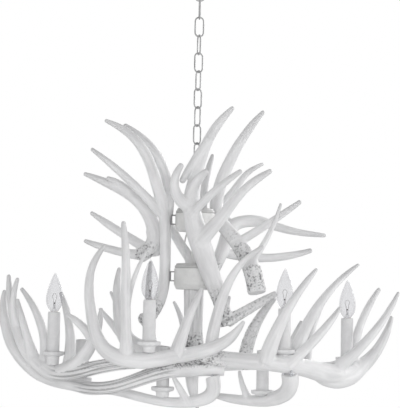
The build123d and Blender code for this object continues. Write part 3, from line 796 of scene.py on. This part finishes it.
canopy = {"radius": 60, "bore": 5.2, "depth": 28, "wall": 1.2}
outline = [
    (canopy["bore"], -canopy["depth"]), (11, -canopy["depth"]), (30, -27.6), (40, -24.6), (48, -18.6),
    (54.5, -12.6), (58.6, -8.2), (canopy["radius"], -5.2), (canopy["radius"], 0),
]
inner = [  # the sheet is thin where it lies flat
    (r - canopy["wall"] * (0.2 if r < 32 else 1), min(z + canopy["wall"], 0)) for r, z in reversed(outline[1:])
]
rim, lip = (canopy["radius"] - canopy["wall"], 0), (canopy["bore"], canopy["wall"] - canopy["depth"])
turnedPiece(
    "ceilingCanopy", [*outline, rim, *inner[1:], lip], panWhite, "canopy",
    "chain_paint", ["ceiling_canopy"], ease=1.0, sides=96, height=0,
)


chain = {
    "links": 11, "first": -73.8, "pitch": 36.6, "length": 42.5, "width": 20, "wire": 2.8, "wireSides": 14,
    "eye": 24, "play": 0.3, "twist": 38, "swell": 1.04, "nick": 0.8944, "past": 1.0816,
}


def ringOfWire(bm, x, z):
    spot = Matrix.Translation((x * mm, 0, z * mm))
    made = bmesh.ops.create_circle(bm, radius=chain["wire"] / 2 * mm, segments=chain["wireSides"], matrix=spot)
    return made["verts"], circleEdges(made["verts"])


# the ring drawn up or down by each rise, to a share of the width that it came with
def straight(bm, edges, stops):
    width = 1
    for rise, share in stops:
        verts, edges = newRing(bmesh.ops.extrude_edge_only(bm, edges=edges)["geom"])
        bmesh.ops.translate(bm, verts=verts, vec=(0, 0, rise * mm))
        middle = sum((v.co for v in verts), Vector()) / len(verts)
        bmesh.ops.scale(bm, verts=verts, vec=(share / width,) * 3, space=Matrix.Translation(-middle))
        width = share
    return verts, edges


# wire bent to an oval, with its weld in the middle of one side
def chainLink(name, z, turned, body):
    bm = bmesh.new()
    half = (chain["length"] - chain["width"]) / 2
    across = (chain["width"] - chain["wire"]) / 2
    swell, nick, past = chain["swell"], chain["nick"], chain["past"]
    weld = [(4, 1), (half - 4.5, swell), (0.5, nick), (0.5, past), (half - 4.5, past), (4, past)]
    verts, edges = ringOfWire(bm, across, -half)
    verts, edges = straight(bm, edges, weld)
    for top in (1, -1):
        bent = bmesh.ops.spin(
            bm, geom=verts + edges, cent=(0, 0, top * half * mm), axis=(0, -1, 0), dvec=(0, 0, 0),
            angle=math.pi, steps=16, use_merge=False, use_duplicate=False,
        )
        verts, edges = newRing(bent["geom_last"])
        if top == 1:
            verts, edges = straight(bm, edges, [(-half, 1), (-half, 1)])
    bmesh.ops.remove_doubles(bm, verts=bm.verts, dist=0.00012)  # wide enough to close the ends' step
    spot = Matrix.Translation((0, 0, z * mm)) @ Matrix.Rotation(math.radians(turned), 4, "Z")
    bmesh.ops.transform(bm, matrix=spot, verts=bm.verts)
    return settled(name, bm, chainShadedGrey, body, [body.replace("link", "chain_link")])


# the chain hangs with a slow twist, most at its middle links
for number in range(1, chain["links"] + 1):
    twist = chain["twist"] * math.sin(math.pi * (number + 0.6) / (chain["links"] + 5)) ** 1.6
    turned = 90 * (number % 2) + twist
    height = chain["first"] - (number - 1) * chain["pitch"]
    chainLink(f"chainLink{number:02d}", height, turned, f"link_{number:02d}")


def eyeRing(bm, z):
    verts, edges = ringOfWire(bm, (chain["eye"] - chain["wire"]) / 2, z)
    bmesh.ops.spin(
        bm, geom=verts + edges, cent=(0, 0, z * mm), axis=(0, -1, 0), dvec=(0, 0, 0),
        angle=math.tau, steps=40, use_merge=True, use_duplicate=False,
    )


# ridges of a screw thread, from low upwards
def threaded(radius, depth, low, pitch, count):
    return [(radius - depth * (i % 2), low + i * pitch) for i in range(count)]


wireAt = (chain["length"] - chain["wire"]) / 2  # from a link's middle to that of its end wire
reach = chain["wire"] * 1.5 + chain["play"]  # from there to the far edge of the ring that it hangs in
under = -canopy["depth"]
canopyEye = chain["first"] + wireAt - reach + chain["eye"] / 2
eyeTop = canopyEye + chain["eye"] / 2
collar = [
    (0, eyeTop - chain["wire"]), (5.2, eyeTop - chain["wire"]), (6.4, eyeTop - 1.0), (9, eyeTop + 0.6),
    (9, under - 1.2), (7.8, under), (0, under),
]
bm = bmesh.new()
eyeRing(bm, canopyEye)
turn(bm, collar, closed=False, height=0)
stem = [(0, under - 0.2), *threaded(5.0, 0.45, under, 0.75, 36), (0, -1)]
turn(bm, stem, closed=False, ease=0, height=0, sides=32)
settled("canopyLoop", bm, chainShadedGrey, "canopy", ["canopy_loop"])

lastLink = chain["first"] - (chain["links"] - 1) * chain["pitch"]
hubEyeTop = lastLink - wireAt + reach
eyeFoot = hubEyeTop - chain["eye"] + chain["wire"]
hubTop = hubHeight + hubs["upperHub"]["top"]
collar = [(0, hubTop), (9, hubTop), (9, eyeFoot - 1.6), (6.4, eyeFoot - 0.4), (5.2, eyeFoot), (0, eyeFoot)]
bm = bmesh.new()
eyeRing(bm, hubEyeTop - chain["eye"] / 2)
turn(bm, collar, closed=False, height=0, ease=0.4)
stem = [(0, hubTop - 18), *threaded(4.4, 0.4, hubTop - 18, 1, 18), (0, hubTop)]
turn(bm, stem, closed=False, ease=0, height=0, sides=24)
settled("hubLoop", bm, chainShadedGrey, "fixture", ["hub_loop"])
print("chain made")


candle = {
    "dish": -6.4, "sleeve": 84, "outer": 12.5, "bore": 11.3, "socketFloor": 50, "base": 24, "glassWall": 0.9,
}
bulbShape = [
    (6.7, 0), (9.8, 3.8), (14.2, 10.5), (16.9, 22), (16.0, 35), (12.2, 51), (6.9, 65), (3.1, 73.6), (1.1, 76.5),
]


def pieceName(word, place):
    return word + "".join(part.capitalize() for part in place.split("_"))


def dripPan(place, spot):
    neck, dish = -spot["neck"], candle["dish"]
    profile = [
        (5.1, neck), (10.8, neck), (12.2, neck + 1.4), (12.5, neck * 0.5 - 5), (12.6, -11.2), (13.6, -9.8),
        (16.0, -8.7), (19.8, -7.8), (21.4, -6.8), (22.2, -5.2), (22.4, -1.3), (21.7, 0), (20.3, -0.3),
        (19.4, -2.0), (15.8, -4.8), (14.4, -5.0), (13.9, -2.6), (13.2, -2.2), (12.6, -2.6), (12.55, dish),
        (5.1, dish),
    ]
    turnedPiece(
        pieceName("dripPan", place), profile, panWhite, "fixture", "pan_paint", ["drip_pan_" + place],
        x=spot["x"], y=spot["y"], height=hubHeight + spot["rim"], ease=0.7, sides=64,
    )


def sleeve(place, spot, seed):
    foot, outer, bore = candle["dish"], candle["outer"], candle["bore"]
    top = foot + candle["sleeve"]
    profile = [(bore, foot), (outer - 0.4, foot)]
    profile += [(outer - 0.25, foot + rise) for rise in range(3, candle["sleeve"] - 5, 3)]
    profile += [(outer - 0.3, top - 4), (outer - 0.55, top - 1.6), (outer - 0.95, top - 0.3)]
    profile += [(bore + 0.1, top), (bore, top - 1.2)]
    bm = bmesh.new()
    turn(bm, profile, spot["x"], spot["y"], ease=0, height=hubHeight + spot["rim"], sides=56)
    axis = Vector((spot["x"] * mm, spot["y"] * mm, 0))
    for vert in bm.verts:  # the outside is a little uneven
        out = Vector((vert.co.x, vert.co.y, 0)) - axis
        if out.length > (bore + 0.3) * mm:
            where = Vector((vert.co.x * 260, vert.co.y * 260, vert.co.z * 70 + seed * 9.7))
            vert.co += out.normalized() * (noise.noise(where) * 0.3 + noise.noise(where * 3) * 0.1) * mm
    name = pieceName("candleSleeve", place)
    settled(name, bm, sleeveWhite, "fixture", ["candle_sleeve_" + place])


# two glass walls closed at the tip, and the stem inside
def bulbEnvelope(place, spot, top):
    wall = candle["glassWall"]
    outer = [(float(r), float(z) + top) for r, _, z in flow([(r, 0, z) for r, z in bulbShape], 34)[0]]
    inner = [(max(r - wall, 0.25), z + (0.2 if z < top + 60 else -wall)) for r, z in outer[:-1]]
    profile = [(0, outer[-1][1] + 0.35), *reversed(outer), *inner, (0, inner[-1][1] + 0.1)]
    stem = [
        (0, top + 1.0), (5.4, top + 1.0), (4.6, top + 3.0), (2.3, top + 8.5), (1.7, top + 13.5),
        (2.5, top + 15.4), (1.6, top + 17.2), (0, top + 17.6),
    ]
    bm = bmesh.new()
    turn(bm, profile, spot["x"], spot["y"], ease=0, closed=False, sides=56)
    turn(bm, stem, spot["x"], spot["y"], closed=False, sides=28)
    settled(pieceName("bulb", place), bm, bulbGlass, "fixture", ["bulb_" + place])


# two support wires, the arched filament between them, and a glass knob on the stem
def filament(place, spot, top):
    bm = bmesh.new()
    for side in (-1, 1):
        wire = [(side * 1.1, 0, 6), (side * 1.3, 0.3, 16), (side * 2.6, 0.6, 24), (side * 4.6, 0, 31)]
        wire = [(spot["x"] + x, spot["y"] + y, top + z) for x, y, z in wire]
        grownRun(bm, wire, [0.42, 0.36, 0.34], sides=7, step=1.6)
    arch = []
    for x in range(-6, 7):
        y, z = 1.4 * math.sin(x * 1.05), 31 + 5.5 * math.cos(x * math.pi / 12)
        arch.append((spot["x"] + x * 4.6 / 6, spot["y"] + y, top + z))
    grownRun(bm, arch, [0.3, 0.3], sides=6, step=0.9)
    knob = [(0, top + 15.5), (1.5, top + 15.9), (1.8, top + 17.0), (1.2, top + 18.2), (0, top + 18.5)]
    turn(bm, knob, spot["x"], spot["y"], ease=0.3, closed=False, sides=18)
    settled(pieceName("filament", place), bm, wireDark, "fixture")


sockets, bases = bmesh.new(), bmesh.new()
for seed, (place, spot) in enumerate(candles.items()):
    dripPan(place, spot)
    sleeve(place, spot, seed)
    foot = spot["rim"] + candle["dish"]
    top = foot + candle["sleeve"]
    under, well = foot + candle["socketFloor"], top - candle["base"]
    socket = [
        (0, under), (9.0, under), (9.9, under + 1), (9.9, top - 3.2), (9.3, top - 2.2), (9.7, top - 1.4),
        (9.5, top - 0.4), (8.9, top), (7.9, top), (7.4, top - 0.7), (7.4, well + 0.6), (7.0, well),
        (2.6, well), (2.2, well + 1.2), (0, well + 1.6),
    ]
    turn(sockets, socket, spot["x"], spot["y"], ease=0.3, closed=False, sides=36)
    if spot["bulb"]:
        bulbEnvelope(place, spot, top)
        filament(place, spot, top)
        shell = [(0, well), (1.9, well + 0.1), (2.6, well + 1.2), (4.0, well + 2.2), (6.0, well + 4.2)]
        shell += [(6.6 + 0.35 * math.cos(i * math.pi / 2), well + 5 + i * 0.75) for i in range(24)]
        turn(bases, shell + [(6.7, top), (0, top)], spot["x"], spot["y"], ease=0, closed=False, sides=40)
settled("lampSockets", sockets, socketDark, "fixture", ["lamp_sockets"])
settled("bulbBases", bases, baseBrass, "fixture", ["bulb_bases"])
print("candles made")


screw = {"head": 4.6, "rise": 2.6, "shank": 2.5, "length": 29, "at": (189, -120, -184), "aim": (0, 0.6, 0.8)}
dome = [
    (0, -1.2), (1.7, -1.2), (1.9, -2.3), (2.5, -screw["rise"]), (3.9, -1.9), (screw["head"], -0.6), (4.4, 0),
]
ridges = threaded(screw["shank"], 0.35, 0, 0.6, 46)[1:]
bm = bmesh.new()
turn(bm, [*dome, *ridges, (0, screw["length"])], ease=0, closed=False, height=0, sides=32)
aim = Vector(screw["aim"]).to_track_quat("Z", "Y").to_matrix().to_4x4()
bmesh.ops.transform(bm, matrix=Matrix.Translation(fromHub(*screw["at"])) @ aim, verts=bm.verts)
settled("clampScrew", bm, zincSteel, "fixture", ["clamp_screw"])

# these nodes keep their CAD shape
kept = {
    "mounting_crossbar": zincSteel, "antler_studs": zincSteel, "candle_nipples": zincSteel,
    # the straps get the dark grey paint: painted shade
    "hub_straps": strapShadeGrey,
}
for node, material in kept.items():
    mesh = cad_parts[node].data
    mesh.materials.clear()
    mesh.materials.append(material)

lead = {
    "knots": [(-15, -16, 90), (-20, -24, 70), (-22, -25, 46), (-16, -17, 24)],
    "radius": 1.5, "length": 0.069,
}
curve = bpy.data.curves.new("hubLead", "CURVE")
curve.dimensions, curve.resolution_u, curve.use_fill_caps = "3D", 24, True
curve.bevel_depth, curve.bevel_resolution = lead["radius"] * mm, 5
line = curve.splines.new("NURBS")
line.points.add(len(lead["knots"]) - 1)
for point, knot in zip(line.points, lead["knots"]):
    point.co = (*fromHub(*knot), 1)
line.order_u, line.use_endpoint_u = 3, True
curve.materials.append(leadWhite)
hubLead = bpy.data.objects.new("hubLead", curve)
bpy.context.scene.collection.objects.link(hubLead)
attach(hubLead, "fixture")
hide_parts("hub_lead")
print("hardware made")


# a pale floor below, white round what the camera sees, and soft lamps
studio = {
    "floor": -3.6, "glow": (0.92, 0.92, 0.92, 1), "floorGlow": 0.75,
    "shade": (0.9, 0.9, 0.905, 1), "ambient": 0.46, "panel": 1.8, "aim": (0, 0, -0.6),
}
lamps = {
    "frontPanel": {"at": (0, -3.2, -0.6), "power": 32},
    "rightPanel": {"at": (3.15, 0, -0.04), "power": 28},
    "backRightPanel": {"at": (1.93, 2.3, 0.49), "power": 48},
    "backLeftPanel": {"at": (-1.93, 2.3, 0.49), "power": 12},
    "lowRightPanel": {"at": (2.51, -1.45, -1.95), "power": 16},
    "lowLeftPanel": {"at": (-2.51, -1.45, -1.95), "power": 16},
}
bm = bmesh.new()
below = Matrix.Translation((0, 0, studio["floor"]))
bmesh.ops.create_grid(bm, x_segments=8, y_segments=8, size=6, matrix=below)
floorMesh = bpy.data.meshes.new("floor")
bm.to_mesh(floorMesh)
bm.free()
floor = bpy.data.objects.new("floor", floorMesh)
bpy.context.scene.collection.objects.link(floor)

pale = Finish("paleFloor", Roughness=0.9)
pale.tint(pale.cloud(3.0), (0.80, 0.80, 0.80), (0.84, 0.84, 0.84))
share = pale.node("ShaderNodeLightPath", out="Is Camera Ray") * studio["floorGlow"]
plain = Signal(pale.tree, pale.shader.outputs[0])
glow = pale.node("ShaderNodeEmission", None, {"Color": studio["glow"]})
pale.show("Material Output", pale.node("ShaderNodeMixShader", None, {0: share, 1: plain, 2: glow}))
floorMesh.materials.append(pale.material)

world = bpy.data.worlds.new("studio")
world.use_nodes = True
bpy.context.scene.world = world
sky = NodeTree(world.node_tree)
rays = [sky.node("ShaderNodeLightPath", out=f"Is {kind} Ray") for kind in ("Camera", "Glossy", "Transmission")]
seen = rays[0] + rays[1] + rays[2]
seen = seen.sum("MINIMUM", seen, 1.0)
soft = sky.node("ShaderNodeBackground", None, {"Color": studio["shade"], "Strength": studio["ambient"]})
white = sky.node("ShaderNodeBackground", None, {"Color": (1, 1, 1, 1), "Strength": 1.0})
sky.show("World Output", sky.node("ShaderNodeMixShader", None, {0: seen, 1: soft, 2: white}))

for name, values in lamps.items():
    light = bpy.data.lights.new(name, "AREA")
    light.size, light.energy = studio["panel"], values["power"]
    lamp = bpy.data.objects.new(name, light)
    lamp.location = values["at"]
    lamp.rotation_mode = "QUATERNION"
    lamp.rotation_quaternion = (Vector(studio["aim"]) - Vector(values["at"])).to_track_quat("-Z", "Y")
    bpy.context.scene.collection.objects.link(lamp)

# up and lean are degrees; the lens is given in pixels of a picture that is so many pixels tall
view = {"at": (0.0088, -2.6, -0.672), "up": 4.44, "lean": 1.2, "sensor": 36, "lensPixels": 1300, "tall": 408}
cameraData = bpy.data.cameras.new("camera")
cameraData.sensor_width = view["sensor"]
cameraData.lens = view["sensor"] * view["lensPixels"] / view["tall"]
camera = bpy.data.objects.new("camera", cameraData)
camera.matrix_world = (
    Matrix.Translation(view["at"])
    @ Matrix.Rotation(math.radians(90 + view["up"]), 4, "X")
    @ Matrix.Rotation(math.radians(view["lean"]), 4, "Z")
)
bpy.context.scene.collection.objects.link(camera)
bpy.context.scene.camera = camera
bpy.context.scene.view_settings.view_transform = "Standard"
